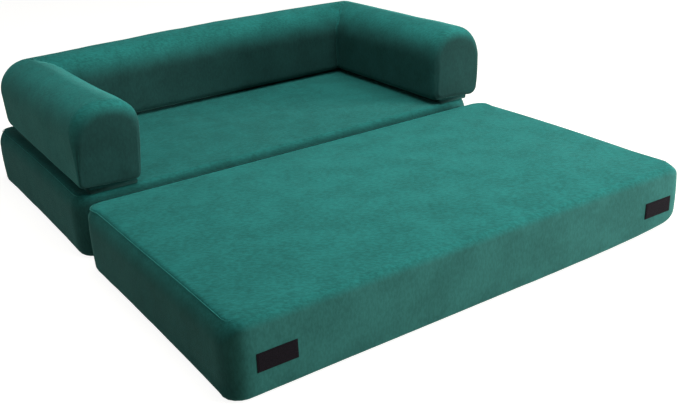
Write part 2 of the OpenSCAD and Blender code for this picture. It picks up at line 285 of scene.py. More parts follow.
def paint_shade_and_light(tree, pile, upright, left, top):
    """A colour to multiply by: painted shade on upright and left-looking faces, painted light on the top.
    """
    upright_shade, left_shade, top_light = ([*(c * share for c in tone), 1] for tone, share in (
        (UPRIGHT_SHADE_TONE, upright), (UPRIGHT_SHADE_TONE, left), (TOP_LIGHT_TONE, top)))
    sides = mix_colors(tree, pile["Facing Left"], upright_shade, left_shade)
    return mix_colors(tree, pile["Facing Up"], sides, top_light)


# upright, left and top are shares of painted shade and light; lift and rim lighten the colour as a painted
# highlight.
def velvet_material(name, turn=0.0, upright=1.0, left=1.0, top=1.0, lift=0.0, rim=0.0, sheen=0.30):
    material, tree, shader = new_material(
        name, Roughness=0.9, Specular_IOR_Level=0.14, Sheen_Weight=sheen, Sheen_Roughness=0.32,
        Sheen_Tint=SHEEN_TINT)
    pile = add(tree, "ShaderNodeGroup", node_tree=brushed_pile, Turn=turn).outputs
    contrast = ramp(tree, pile["Facing Up"], 0.0, 1.0, *STROKE_CONTRAST)
    strokes = maths(tree, "MULTIPLY", maths(tree, "SUBTRACT", pile["Strokes"], 0.5), contrast)
    clouds = maths(tree, "MULTIPLY", pile["Clouds"], CLOUD_SHARE)
    share = maths(tree, "ADD", maths(tree, "ADD", strokes, LIGHT_SHARE), clouds)
    # Painted highlight: the colour is lightened by rim where a face turns away from the eye, and by lift
    # all over.
    away = add(tree, "ShaderNodeLayerWeight").outputs["Facing"]
    glow = ramp(tree, away, PAINTED_RIM_START, 1.0, lift, lift + rim)
    teal = mix_colors(tree, maths(tree, "ADD", share, glow), TEAL_DEEP, TEAL_LIGHT, clamp_factor=False)
    tone = paint_shade_and_light(tree, pile, upright, left, top)
    feed(tree, mix_colors(tree, 1.0, teal, tone, blend_type="MULTIPLY"), shader["Base Color"])
    raise_surface(tree, shader, pile["Height"], 0.35, 0.0012)
    return material


# Each share of upright, left and top is painted shade or painted light on that piece.
velvet = velvet_material("velvet_teal", turn=0.55, upright=0.95, left=0.50, top=0.95)
# Painted shade: the rear mattress's velvet is darker all over, as it lies in the bolster's shade.
rear_shaded_velvet = velvet_material("velvet_teal_rear_shaded", turn=0.30, upright=0.55, left=0.48, top=0.76)
# Painted shade on the bolster's upright faces, and a painted highlight at its rim.
bolster_velvet = velvet_material("velvet_teal_bolster", turn=0.55, upright=0.30, left=0.88, top=0.88,
                                 rim=0.5, sheen=0.24)
# Painted shade: the base pad's velvet is darker, as it lies in shade under the bolster.
base_shaded_velvet = velvet_material("velvet_teal_base_shaded", upright=0.24, left=0.24, top=0.35)
# Painted highlight: the piping's velvet is lifted to a lighter teal, as the cord catches the light.
piping_highlight_velvet = velvet_material("velvet_teal_piping_highlight", lift=0.8, sheen=0.9)
strip_velvet = velvet_material("velvet_teal_strip", upright=0.3, left=0.3, top=0.32, sheen=0.15)
velvets = (velvet, rear_shaded_velvet, bolster_velvet, base_shaded_velvet, piping_highlight_velvet, strip_velvet)
print("materials", [material.name for material in velvets])

# %% [markdown]
# The hidden and half-hidden cloths are woven: webbing, zip tape and the non-slip panel. A plain
# weave is two sets of ridges that cross, so this group multiplies two waves. Its threads can be
# wide or narrow, and it also gives a slow fading mask for dust and handling.


# %% The woven cloth, as a node group
def woven_group():
    tree, inlet, outlet = open_group(
        "woven_cloth", {"Threads": 500.0, "Dust Scale": 12.0}, ("Weave", "Dust"))
    place = object_place(tree)
    ridges = []
    for direction in ("X", "DIAGONAL"):
        wave = add(tree, "ShaderNodeTexWave", wave_type="BANDS", bands_direction=direction,
                   Distortion=0.4, Detail=1.0)
        feed(tree, place, wave.inputs["Vector"])
        feed(tree, inlet["Threads"], wave.inputs["Scale"])
        ridges.append(wave.outputs["Fac"])
    feed(tree, maths(tree, "MULTIPLY", *ridges), outlet["Weave"])
    dust = noise_field(tree, place, inlet["Dust Scale"], 5.0, 0.6)
    feed(tree, ramp(tree, dust, 0.45, 0.75), outlet["Dust"])
    return tree


woven_cloth = woven_group()


def woven_material(name, clean, dusty, threads):
    material, tree, shader = new_material(name, Roughness=0.85, Specular_IOR_Level=0.3)
    cloth = add(tree, "ShaderNodeGroup", node_tree=woven_cloth, Threads=threads).outputs
    dust = maths(tree, "MULTIPLY", cloth["Dust"], 0.6)
    feed(tree, mix_colors(tree, dust, clean, dusty), shader["Base Color"])
    raise_surface(tree, shader, cloth["Weave"], 0.6, 0.0006)
    return material


webbing = woven_material("webbing_black", (0.012, 0.012, 0.014, 1), (0.03, 0.03, 0.03, 1), 700)
zip_cloth = woven_material("zip_tape_black", (0.010, 0.016, 0.016, 1), (0.03, 0.035, 0.035, 1), 1200)
panel_cloth = woven_material("panel_black", (0.014, 0.014, 0.016, 1), (0.05, 0.048, 0.045, 1), 350)
print("group", woven_cloth.name, "and three woven cloths")

# %% [markdown]
# Four more finishes are used once each, so they need no group: the loops of a hook-and-loop pad,
# the open cells of foam, brushed nickel for the zip sliders and a moulded plastic for zip teeth.
# Loops and foam are both fields of small cells. Nickel and plastic both follow a noise, and on the
# nickel it is drawn out into fine lines.


# %% Loop pad, foam, nickel and teeth
def cell_material(name, scale, randomness, colors, height, blend=None, **finish):
    """A finish of small cells, in one colour at their middles and in another at their borders."""
    material, tree, shader = new_material(name, Roughness=0.95, **finish)
    field = add(tree, "ShaderNodeTexVoronoi", Scale=scale, Randomness=randomness)
    feed(tree, object_place(tree), field.inputs["Vector"])
    cells = field.outputs["Distance"]
    share = ramp(tree, cells, *blend) if blend else cells
    feed(tree, mix_colors(tree, share, *colors), shader["Base Color"])
    raise_surface(tree, shader, cells, height, 0.001)
    return material


def hard_material(name, scale, detail, roughness, colors, **finish):
    """A hard finish whose shine and colour follow one noise, drawn out by its three scales."""
    material, tree, shader = new_material(name, **finish)
    mapping = add(tree, "ShaderNodeMapping", Scale=scale)
    feed(tree, object_place(tree), mapping.inputs[0])
    field = noise_field(tree, mapping.outputs[0], 1.0, detail)
    feed(tree, ramp(tree, field, 0.3, 0.7, *roughness), shader["Roughness"])
    feed(tree, mix_colors(tree, field, *colors), shader["Base Color"])
    return material


loop_pile = cell_material(
    "loop_pile_black", 420.0, 0.85, ((0.011, 0.008, 0.012, 1), (0.004, 0.003, 0.005, 1)), 0.8,
    (0.1, 0.7), Specular_IOR_Level=0.10)
foam = cell_material("foam_cream", 600.0, 1.0, ((0.80, 0.73, 0.55, 1), (0.90, 0.85, 0.70, 1)), 0.5)
nickel = hard_material("nickel_brushed", (120, 2500, 2500), 2.0, (0.28, 0.45),
                       ((0.42, 0.41, 0.39, 1), (0.62, 0.61, 0.58, 1)), Metallic=1.0)
zip_plastic = hard_material("zip_teeth_black", (260, 260, 260), 3.0, (0.25, 0.5),
                            ((0.010, 0.018, 0.018, 1), (0.03, 0.04, 0.04, 1)))
print("four finishes used once each")

# %% [markdown]
# Now the forms. Each soft piece is a lattice of points worked out from a few sizes, which come from
# the frame's own boxes. A lattice keeps its rows along the seams, which a sculpted or remeshed form
# would lose, and a seam can then be pressed into the right row.


# %% Helpers for meshes
QUARTER = pi / 2


def clamp(value):
    return min(1.0, max(0.0, value))


def ease(value):
    """The same value from zero to one, with soft ends."""
    return value * value * (3 - 2 * value)


def between(first, last, share):
    """Numbers part of the way from one list to another."""
    return [a + (b - a) * share for a, b in zip(first, last)]


def soft_waves(point, size, seed):
    """A smooth value from about -1 to 1 that wanders over the given size."""
    return noise.noise(Vector(point) / size + Vector((seed, seed * 0.7, -seed)))


def ring_faces(rings, count):
    faces = []
    for first in range(0, (rings - 1) * count, count):
        for i in range(count):
            a, b = first + i, first + (i + 1) % count
            faces.append((a, b, b + count, a + count))
    return faces


def tube(rings):
    """Points and faces of a tube through rings of points, closed at both ends."""
    count = len(rings[0])
    points = [p for ring in rings for p in ring]
    ends = [tuple(range(count - 1, -1, -1)), tuple(range(len(points) - count, len(points)))]
    return points, ring_faces(len(rings), count) + ends


def finish_mesh(name, points, faces, material, smooth=True):
    mesh = bpy.data.meshes.new(name)
    mesh.from_pydata([tuple(p) for p in points], [], faces)
    mesh.validate()
    shape = bmesh.new()
    shape.from_mesh(mesh)
    bmesh.ops.recalc_face_normals(shape, faces=shape.faces)
    shape.to_mesh(mesh)
    shape.free()
    mesh.materials.append(material)
    for polygon in mesh.polygons:
        polygon.use_smooth = smooth
    return new_object(name, mesh)


def box_of(node):
    """Both corners of a piece of the frame, its middle and half its width and depth."""
    low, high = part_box(node)
    return low, high, (low + high) / 2, (high.x - low.x) / 2, (high.y - low.y) / 2


def fit(piece, node, body):
    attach(piece, body)
    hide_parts(node)


print("mesh helpers ready")

# %% [markdown]
# A mattress cover is a top panel, a side band and an underside that closes round the non-slip panel.
# Its outline is walked side by side, with the same number of points on opposite sides, and each
# corner is shared by its two sides. One corner of the rear mattress is worn rounder than the rest.
# The top and the underside are filled with a grid that is blended from the four sides, so no point
# has a crowd of triangles round it.

# %% The outline of a mattress and a grid inside it
ALONG_X = 90
ALONG_Y = 54
RIM = 2 * (ALONG_X + ALONG_Y)
CORNER = 0.070
WORN_CORNER = 0.110
LEAST_CORNER = 0.010
CORNERS = {"front": (CORNER,) * 4, "rear": (CORNER,) * 3 + (WORN_CORNER,)}
EIGHTH = pi / 4


def outline_point(side, share, half_x, half_y, inset, draw, corners):
    """A point of the outline and the direction that its face looks in; share runs along one side."""
    turn = radians(90 * side)
    out, along = Vector((cos(turn), sin(turn))), Vector((-sin(turn), cos(turn)))
    reach = (half_x, half_y)[side % 2] - inset
    half = (half_y, half_x)[side % 2] - inset
    first, last = (max(corners[side + k] - inset, LEAST_CORNER) for k in (-1, 0))
    straight = 2 * half - first - last
    run = share * (EIGHTH * first + straight + EIGHTH * last) - EIGHTH * first
    if 0 <= run <= straight:
        pull = draw * (1 - (2 * run / straight - 1) ** 2)
        return out * (reach - pull) + along * (first - half + run), out
    radius, angle = (first, run / first) if run < 0 else (last, (run - straight) / last)
    facing = out * cos(angle) + along * sin(angle)
    start = along * (first - half if run < 0 else half - last)
    return out * (reach - radius) + start + facing * radius, facing


def outline_points(half_x, half_y, insets, draw, body):
    """The whole outline, moved in by a list with one inset for each point."""
    places = [(side, i / count) for side, count in enumerate((ALONG_Y, ALONG_X) * 2) for i in range(count)]
    return [outline_point(side, share, half_x, half_y, inset, draw, CORNERS[body])
            for (side, share), inset in zip(places, insets)]


def grid_inside(rim):
    """Inner points of a closed rim, row by row, blended from its four sides."""
    n, m = ALONG_Y, ALONG_X
    rim = [p.xy for p in rim]
    right = rim[0:n + 1]
    back = rim[n:n + m + 1][::-1]
    left = rim[n + m:2 * n + m + 1][::-1]
    front = (rim + rim[:1])[2 * n + m:]
    rows = []
    for j in range(1, n):
        v = j / n
        for i in range(1, m):
            u = i / m
            edges = (1 - u) * left[j] + u * right[j] + (1 - v) * front[i] + v * back[i]
            corners = ((1 - u) * (1 - v) * front[0] + u * (1 - v) * front[m]
                       + (1 - u) * v * back[0] + u * v * back[m])
            rows.append(edges - corners)
    return rows


def grid_faces(rim_first, grid_first):
    """Faces that join a rim, walked anticlockwise from the front right corner, to its grid."""
    n, m = ALONG_Y, ALONG_X

    def index(i, j):
        if i == m:
            return rim_first + j
        if j == n:
            return rim_first + n + (m - i)
        if i == 0:
            return rim_first + n + m + (n - j)
        if j == 0:
            return rim_first + (2 * n + m + i) % RIM
        return grid_first + (j - 1) * (m - 1) + (i - 1)

    return [(index(i, j), index(i + 1, j), index(i + 1, j + 1), index(i, j + 1))
            for j in range(n) for i in range(m)]


print("an outline has", RIM, "points")

# %% [markdown]
# The side of the cover, from the floor up: the pocket that holds the non-slip panel, the underside, a
# round lower edge, a band that swells a few millimetres and the upper edge. The upper edge isn't the
# same all round. Along the back and the sides the band leans in over the foam and stops at a seam,
# which makes a crisp fold against the top. At the front the velvet runs over the edge in one soft
# piece. So there are two profiles, and each point of the outline mixes them by where its face looks.
# Last, the front of a cover is moved a little to the right, as it slips over its foam in use, and a
# cover may stand fuller on that side.

# %% Edges of a mattress cover
SWELL = 0.004
DRAW = 0.004
SHIFT_START = 0.1
FLOOR_GRIP = 0.04
FULL_REACH = 0.6
FRONT_LIMITS = (0.40, 0.95)
BACK_LIMIT = 0.7
LOWER_LIMIT = 0.35


def front_share(facing):
    """One where the outline looks forward, fading to nothing on the sides and the back."""
    start, full = FRONT_LIMITS
    return ease(clamp((-facing.y - start) / (full - start)))


def lower_radius(point, facing, half_x, edges):
    """The radius along the floor, which grows towards the front right corner, where it is worn round."""
    side, left, right = edges["lower"]
    across = (point.x / half_x + 1) / 2
    front = left + (right - left) * across ** 7
    return side + (front - side) * clamp(-facing.y / LOWER_LIMIT)


def seam_drop(facing, edges):
    """How far the seam lies below the top, from the drop at the front and that at the sides."""
    front, side = edges["seam_drop"]
    return side + (front - side) * front_share(facing)


def edge_step(facing, edges, top, share):
    """Inset and height of a point on the upper edge; share runs from the band to the seam."""
    mix = front_share(facing)
    tight = 1 - edges["tight_back"] * ease(clamp(facing.y / BACK_LIMIT))
    inset, fall = 0.0, seam_drop(facing, edges)
    for (radius, angle), weight in zip(edges["profiles"], (mix, 1 - mix)):
        last = radians(angle)
        inset += weight * radius * tight * (1 - cos(last * share))
        fall += weight * radius * tight * (sin(last) - sin(last * share))
    return inset, top - fall


def settle(p, half_x, half_y, top, edges):
    """Where a point comes to lie in a cover that has slipped at its front and is fuller on its right."""
    ahead = clamp((SHIFT_START - p.y) / (half_y + SHIFT_START)) * clamp(p.z / FLOOR_GRIP)
    right, high = max(0.0, p.x / half_x), (p.z / top) ** 2
    full = sin(pi * clamp((p.y / half_y + FULL_REACH) / (1 + FULL_REACH))) * right ** 4 * high
    out = edges["reach_right"] * ahead * right ** 6 * high
    return p + Vector((edges["lean"] * ahead + out, 0, edges["full_right"] * full))


REAR_EDGES = {"profiles": ((0.050, 50), (0.085, 40)), "seam_drop": (0.0025, 0.005), "tight_back": 0.0,
              "lower": (0.028, 0.028, 0.028), "lean": 0.0, "full_right": 0.0, "reach_right": 0.012}
FRONT_EDGES = {"profiles": ((0.030, 86), (0.105, 42)), "seam_drop": (0.0, 0.005), "tight_back": 0.65,
               "lower": (0.028, 0.020, 0.080), "lean": 0.010, "full_right": 0.010, "reach_right": 0.0}
print("two profiles for each mattress")

# %% [markdown]
# The folded edge of the seam shows as a fine light line. It is a real cord of cloth, so it is
# modelled as one: a thin tube that follows the seam's row of points, fuller near the corners, and
# fading into the soft front edge. Its velvet is lifted to a lighter teal, a painted highlight for the
# light that the cord catches.

# %% Piping
PIPING_R = 0.0015
PIPING_SIDES = 6
PIPING_END = -0.85
PIPING_THIN = 0.6
TAPER_START = 0.15
TAPER_POINTS = 4


def piping(name, path, thickness, facings, body):
    """The folded edge of the seam, a fine cord along the back and the sides of the upper edge."""
    kept = [i for i in range(RIM) if facings[i].y > PIPING_END]
    start = next(i for i in kept if (i - 1) % RIM not in kept)
    rings = []
    for count in range(len(kept)):
        i = (start + count) % RIM
        out = Vector((facings[i].x, facings[i].y, 0))
        taper = thickness[i] * min(1.0, TAPER_START + min(count, len(kept) - 1 - count) / TAPER_POINTS)
        turns = [2 * pi * k / PIPING_SIDES for k in range(PIPING_SIDES)]
        rings.append([path[i] + PIPING_R * taper * (out * cos(b) + Vector((0, 0, 1)) * sin(b))
                      for b in turns])
    cord = finish_mesh(name, *tube(rings), piping_highlight_velvet)
    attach(cord, body)


print("a cord up to", round(2000 * PIPING_R), "mm thick")

# %% [markdown]
# The rows of the cover follow each other from the floor up. A row is a list of pairs, one for each
# point of the outline: how far it stands in from the outline, and how high. The rows lie closer
# together where the cover turns, on both edges and in the crease beside the seam.

# %% Rows of a mattress cover
PANEL_IN = 0.0622
PANEL_DEPTH = 0.0068
POCKET_EDGE = 0.010
LOWER_STEPS = 9
BAND_STEPS = 9
EDGE_STEPS = 12
TOP_EDGE = ((0.0022, 0.38), (0.0050, 0.70), (0.0090, 0.92), (0.0140, 1.0))


def cover_rows(outer, half_x, top, edges):
    """Inset and height of every point, row by row, from the panel's pocket up to the top."""
    swell = lambda z: SWELL * (1 - sin(pi * z / top))
    lower = [(lower_radius(p, f, half_x, edges), f) for p, f in outer]
    rows = [[(PANEL_IN, PANEL_DEPTH)] * RIM, [(PANEL_IN, 0.0)] * RIM, [(PANEL_IN - POCKET_EDGE, 0.0)] * RIM]
    for a in np.radians(np.linspace(0, 90, LOWER_STEPS)):
        rows.append([(r * (1 - sin(a)) + swell(r * (1 - cos(a))), r * (1 - cos(a)))
                     for r, _ in lower])
    for share in np.linspace(0, 1, BAND_STEPS)[1:-1]:
        heights = [r + (edge_step(f, edges, top, 0)[1] - r) * share for r, f in lower]
        rows.append([(swell(z), z) for z in heights])
    for share in np.linspace(0, 1, EDGE_STEPS):
        steps = [edge_step(f, edges, top, share) for _, f in outer]
        rows.append([(inset + swell(z), z) for inset, z in steps])
    seam_row = rows[-1]
    for across, share in TOP_EDGE:
        rows.append([(inset + across, z + seam_drop(f, edges) * share)
                     for (inset, z), (_, f) in zip(seam_row, outer)])
    return rows


print("a cover has", 3 + LOWER_STEPS + BAND_STEPS - 2 + EDGE_STEPS + len(TOP_EDGE), "rows")

# %% [markdown]
# The lattice is now lifted from these rows and closed by two grids: the top, which is crowned a
# little, and the underside. Then two slow waves move each point, sideways on the band and up or down
# on the top. They are seeded with their own numbers, so the two mattresses don't look alike.

# %% Mattress covers
WIDE_WAVE = (0.0016, 0.22)
SMALL_WAVE = (0.0007, 0.06)


def mattress_cover(body, rise, edges, seed, cloth):
    low, high, middle, half_x, half_y = box_of(body + "_cover")
    top = high.z - rise
    outer = outline_points(half_x, half_y, [0.0] * RIM, 0.0, body)
    facings = [facing for _, facing in outer]

    def lift_row(row):
        flat = outline_points(half_x, half_y, [inset for inset, _ in row], DRAW, body)
        return [Vector((p.x, p.y, z)) for (p, _), (_, z) in zip(flat, row)]

    rows = cover_rows(outer, half_x, top, edges)
    points = [p for row in rows for p in lift_row(row)]
    rim, pocket = points[-RIM:], points[:RIM]
    grid_first = len(points)
    flat_x, flat_y = (max(abs(p[k]) for p in rim) for k in (0, 1))
    crown = lambda p: rise * max(0, 1 - abs(p.x / flat_x) ** 3) * max(0, 1 - abs(p.y / flat_y) ** 3)
    points += [Vector((p.x, p.y, top + crown(p))) for p in grid_inside(rim)]
    floor_first = len(points)
    points += [Vector((p.x, p.y, PANEL_DEPTH)) for p in grid_inside(pocket)]
    faces = ring_faces(len(rows), RIM) + grid_faces(grid_first - RIM, grid_first)
    faces += grid_faces(0, floor_first)
    for i in range(3 * RIM, floor_first):
        p = points[i]
        wave = sum(size * soft_waves(p, reach, seed + 3 * k)
                   for k, (size, reach) in enumerate((WIDE_WAVE, SMALL_WAVE)))
        on_side = i < grid_first - RIM
        away = Vector((*facings[i % RIM], 0)) if on_side else Vector((0, 0, 1))
        points[i] = p + away * wave
    centre = Vector((middle.x, middle.y, 0))
    settled = lambda row: [centre + settle(p, half_x, half_y, top, edges) for p in row]
    piece = finish_mesh(body + "_mattress_velvet", settled(points), faces, cloth)
    seam = lift_row([edge_step(f, edges, top, 1) for f in facings])
    thickness = [PIPING_THIN + (1 - PIPING_THIN) * abs(p.y / half_y) ** 4 for p in seam]
    piping(piece.name + "_piping", settled(seam), thickness, facings, body)
    return piece


rear_cover = mattress_cover("rear", 0.006, REAR_EDGES, 4.2, rear_shaded_velvet)
front_cover = mattress_cover("front", 0.012, FRONT_EDGES, 9.1, velvet)
for cover, body in ((rear_cover, "rear"), (front_cover, "front")):
    fit(cover, body + "_cover", body)
    print(cover.name, "has", len(cover.data.polygons), "faces")

# %% [markdown]
# The bolster is one padded roll with a round top and a flat underside, bent into a U. It is made by
# carrying its section along both arms, round the two rear corners and along the back. At an outer
# corner the section swings round a wide arc. At the inner corner the arc is almost nothing, which
# gives the sharp upright fold where arm and back meet. Its faces lean in a little towards the floor,
# because the cover is cut for the narrower base pad. Foam that is stuffed into a sleeve never sits
# quite evenly, so the two arms don't have the same lean or the same lower edges.

# %% Section of the bolster
ARM = 0.262
BACK_RISE = 0.006
LEAN_REACH = 1.45
OUTER_REACH = 1.02
LIFT_REACH = 0.7
SECTION_ARCH = 44
SECTION_TOE = 8
SECTION_WALL = 7
SECTION_BASE = 9

bolster_low, bolster_high, bolster_middle, half_width, _ = box_of("bolster_cover")
bolster_x = bolster_middle.x
arm_front, back_rear = bolster_low.y, bolster_high.y
arm_height = bolster_high.z - bolster_low.z - BACK_RISE
half_arm = ARM / 2
wall = arm_height - half_arm
span = half_width - half_arm


def upright_face(toe):
    """One face of the section from the floor to the arch, as pairs of depth and height."""
    pairs = [(toe * (1 - sin(a)), toe * (1 - cos(a)))
             for a in np.linspace(0, QUARTER, SECTION_TOE)]
    return pairs + [(0.0, z) for z in np.linspace(toe, wall, SECTION_WALL + 1)[1:-1]]


def section(outer_toe, inner_toe, outer_lean, inner_lean, outer_lift, fullness):
    """The section as pairs of distance from the outer face and height, from the outer toe up."""
    def lean(d, z, outer, inner):
        outer_low, inner_low = (max(0.0, 1 - z / (reach * wall)) for reach in (OUTER_REACH, LEAN_REACH))
        return d + outer_lean * outer_low * outer - inner_lean * inner_low * inner, z

    full = lambda value: copysign(abs(value) ** fullness, value)
    pairs = [lean(d, z, 1, 0) for d, z in upright_face(outer_toe)]
    for a in np.linspace(0, pi, SECTION_ARCH):
        across = 1 - full(cos(a))
        z = wall + half_arm * full(sin(a))
        pairs.append(lean(half_arm * across, z, max(0.0, 1 - across), max(0.0, across - 1)))
    pairs += [lean(ARM - d, z, 0, 1) for d, z in reversed(upright_face(inner_toe))]
    pairs += [(d, 0.0) for d in np.linspace(pairs[-1][0], pairs[0][0], SECTION_BASE + 1)[1:-1]]
    lift = lambda d, z: outer_lift * max(0.0, 1 - d / (LIFT_REACH * ARM)) * max(0.0, 1 - z / wall)
    return [Vector((d, z + lift(d, z))) for d, z in pairs]


REAR_SHAPE = (0.056, 0.026, 0.006, 0.004, 0.0, 1.0)
FRONT_SHAPES = {-1: (0.014, 0.016, 0.0, 0.038, 0.014, 0.88), 1: (0.034, 0.030, 0.022, 0.0, -0.010, 0.88)}
rear_section = section(*REAR_SHAPE)
print("section of", len(rear_section), "points,", round(arm_height, 3), "m high")

# %% [markdown]
# A section becomes a ring of points by being placed: square across an arm, turned about an upright
# axis in a rear corner, or square across the back. The base pad and the foam follow the same path
# with sections of their own, so the three ways to place a section are small functions here.

# %% The path round the U
INNER_CORNER = 0.004


def place(side, y, p):
    return Vector((bolster_x + side * (half_width - p.x), y, bolster_low.z + p.y))


def bend_ring(side, angle, pairs, inner_corner=INNER_CORNER):
    ring = []
    for d, z in pairs:
        r = max(half_arm - d, inner_corner)
        ring.append(Vector((bolster_x + side * (half_width - d - r + r * cos(angle)),
                            back_rear - d - r + r * sin(angle), bolster_low.z + z)))
    return ring


def back_ring(x, pairs, rise=0.0):
    """A ring across the back, which may stand a little higher towards its middle."""
    middle_rise = rise * (1 - (x / span) ** 2)
    return [Vector((bolster_x + x, back_rear - d, bolster_low.z + z + middle_rise * z / arm_height))
            for d, z in pairs]


print("the back is straight for", round(2 * span, 3), "m")

# %% [markdown]
# The front of an arm is a separate panel, sewn in all round. Above, the roll turns softly into it,
# and along its upright sides the seam holds a much tighter edge. So the points of the section are
# drawn towards the panel's middle by a radius of their own, which is large near the top of the arch.
# The rest of the panel is filled with smaller and smaller rings that end in a slightly domed middle.

# %% The front of an arm
END_TOP = 0.056
END_LOW = {-1: (0.011, 0.018), 1: (0.018, 0.034)}
END_START = 0.25 * wall
END_DOME = 0.004
PANEL_SEAM = 0.0030
SEAM_TURN = radians(58)
SEAM_WIDTH = 0.16
SEAM_FADE = (2.2, 1.6)
PANEL_MIDDLE = Vector((half_arm, 0.62 * wall))
CAP_RINGS = 11
END_STEPS = 16


def end_radius(side, p):
    """How far the front edge is rounded at one point of the section."""
    outer, inner = END_LOW[side]
    low = outer + (inner - outer) * clamp(p.x / ARM)
    return low + (END_TOP - low) * ease(clamp((p.y - END_START) / (arm_height - END_START)))


def cap_ring(side, outline, reach):
    """A ring of the front panel, a share of the way from its middle to the rounded edge."""
    ring = []
    for p in outline:
        away = p - PANEL_MIDDLE
        spot = PANEL_MIDDLE + away.normalized() * (away.length - end_radius(side, p)) * reach
        ring.append(place(side, arm_front + END_DOME * reach ** 2, spot))
    return ring


def edge_ring(side, outline, angle):
    """A ring of the rounded edge round the front panel, with the crease of its seam."""
    ring = []
    for p in outline:
        r = end_radius(side, p)
        fade = clamp(SEAM_FADE[0] - SEAM_FADE[1] * p.y / wall)
        crease = PANEL_SEAM * fade * exp(-((angle - SEAM_TURN) / SEAM_WIDTH) ** 2)
        inward = (p - PANEL_MIDDLE).normalized() * (r * (1 - cos(angle)) + crease)
        ring.append(place(side, arm_front + END_DOME + r * (1 - sin(angle)), p - inward))
    return ring


print("the front edge is rounded by up to", round(END_TOP * 1000), "mm")

# %% [markdown]
# Along an arm the section changes from its own front shape to the shape of the back. The rings stand
# closer together towards the corner, where the upright fold needs points to bend at, and then they
# swing round it.

# %% The length of an arm
ARM_STEPS = 30
ARM_CROWDING = 1.3
BEFORE_BEND = (0.968, 0.980, 0.988, 0.995)
BEND_STEPS = 17


def arm_ring(side, outline, share):
    """A ring of the arm, which changes from its front shape to the shape of the back."""
    pairs = section(*between(FRONT_SHAPES[side], REAR_SHAPE, share))
    starts = [arm_front + END_DOME + end_radius(side, p) for p in outline]
    return [place(side, start + (back_rear - half_arm - start) * share, p)
            for p, start in zip(pairs, starts)]


def arm_rings(side):
    outline = section(*FRONT_SHAPES[side])
    shares = (*(np.linspace(0, 1, ARM_STEPS)[1:-1] ** ARM_CROWDING), *BEFORE_BEND)
    rings = [cap_ring(side, outline, reach) for reach in np.linspace(0, 1, CAP_RINGS + 1)[1:-1]]
    rings += [edge_ring(side, outline, a) for a in np.linspace(QUARTER, 0, END_STEPS)]
    rings += [arm_ring(side, outline, share) for share in shares]
    return rings + [bend_ring(side, a, rear_section) for a in np.linspace(0, QUARTER, BEND_STEPS)]


left_arm, right_arm = arm_rings(-1), arm_rings(1)
print("an arm has", len(left_arm), "rings")

# %% [markdown]
# The two arms and the back now join into one tube. Afterwards every point moves a little along its
# normal: out and in with the waves of the cloth, and inwards at the fold between arm and back. The
# rear left corner has sunk, as worn foam does.

# %% Bolster cover
BACK_STEPS = 50
AFTER_BEND = (0.005, 0.011, 0.019)
MITRE_DEPTH = 0.013
MITRE_WIDTH = 0.019
MITRE_RISE = 3
SAG = 0.012
SAG_REACH = (0.1, 0.5)
BROAD_WAVE = (0.0022, 0.17, 6.3)
FINE_WAVE = (0.0008, 0.05, 2.2)
CALM_BASE = 0.03


def mitre_share(spot):
    """One on the upright fold where arm and back meet, and nothing a finger's width away from it."""
    from_side = half_width - abs(spot.x - bolster_x)
    from_rear = back_rear - spot.y
    inward = clamp((min(from_side, from_rear) - half_arm) / half_arm * MITRE_RISE)
    return inward * exp(-((from_side - from_rear) / MITRE_WIDTH) ** 2)


def sag_share(spot):
    """One at the rear left corner, where the foam has sunk, fading along the back and the arm."""
    across, along = SAG_REACH
    return clamp((across - (spot.x - bolster_x)) / half_width) * clamp((spot.y - arm_front) / along)


def bolster_cover():
    stops = [d - span for d in AFTER_BEND] + list(np.linspace(-span, span, BACK_STEPS)[1:-1])
    stops += [span - d for d in reversed(AFTER_BEND)]
    back = [back_ring(x, rear_section, BACK_RISE) for x in stops]
    rings = left_arm + back + right_arm[::-1]
    count = len(rings[0])
    points = [p for ring in rings for p in ring]
    last = len(points) - count
    points += [sum(ring, Vector()) / count for ring in (rings[0], rings[-1])]
    faces = ring_faces(len(rings), count)
    faces += [((i + 1) % count, i, last + count) for i in range(count)]
    faces += [(last + i, last + (i + 1) % count, last + count + 1) for i in range(count)]
    piece = finish_mesh("bolster_velvet", points, faces, bolster_velvet)
    normals = [vertex.normal.copy() for vertex in piece.data.vertices]
    for vertex, normal in zip(piece.data.vertices, normals):
        wave = sum(size * soft_waves(vertex.co, reach, seed)
                   for size, reach, seed in (BROAD_WAVE, FINE_WAVE))
        base = min(1.0, (vertex.co.z - bolster_low.z) / CALM_BASE)
        fold = mitre_share(vertex.co)
        vertex.co += normal * (wave * (1 - fold) - MITRE_DEPTH * fold) * base
        vertex.co.z -= SAG * sag_share(vertex.co) * (vertex.co.z - bolster_low.z) / arm_height
    return piece


bolster = bolster_cover()
fit(bolster, "bolster_cover", "bolster")
print(bolster.name, "has", len(bolster.data.polygons), "faces")

# %% [markdown]
# Under the bolster lies its base pad, a thin flat strip of padding in the same velvet, darkened as
# painted shade. It stands in from the bolster's faces, so it reads as a dark line with a narrow band
# below it. The same walk round the U is used, with a low section whose edges are a little rounded.

# %% Base pad
PAD_INSETS = {-1: (0.034, 0.052), 1: (0.078, 0.040)}
PAD_EDGE = 0.006
PAD_CLEAR = 0.0005
PAD_INNER_CORNER = 0.002
PAD_ARM_STEPS = 20
PAD_BEND_STEPS = 9
PAD_BACK_STEPS = 30
PAD_EDGE_STEPS = 4
pad_low, pad_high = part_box("bolster_base_pad")


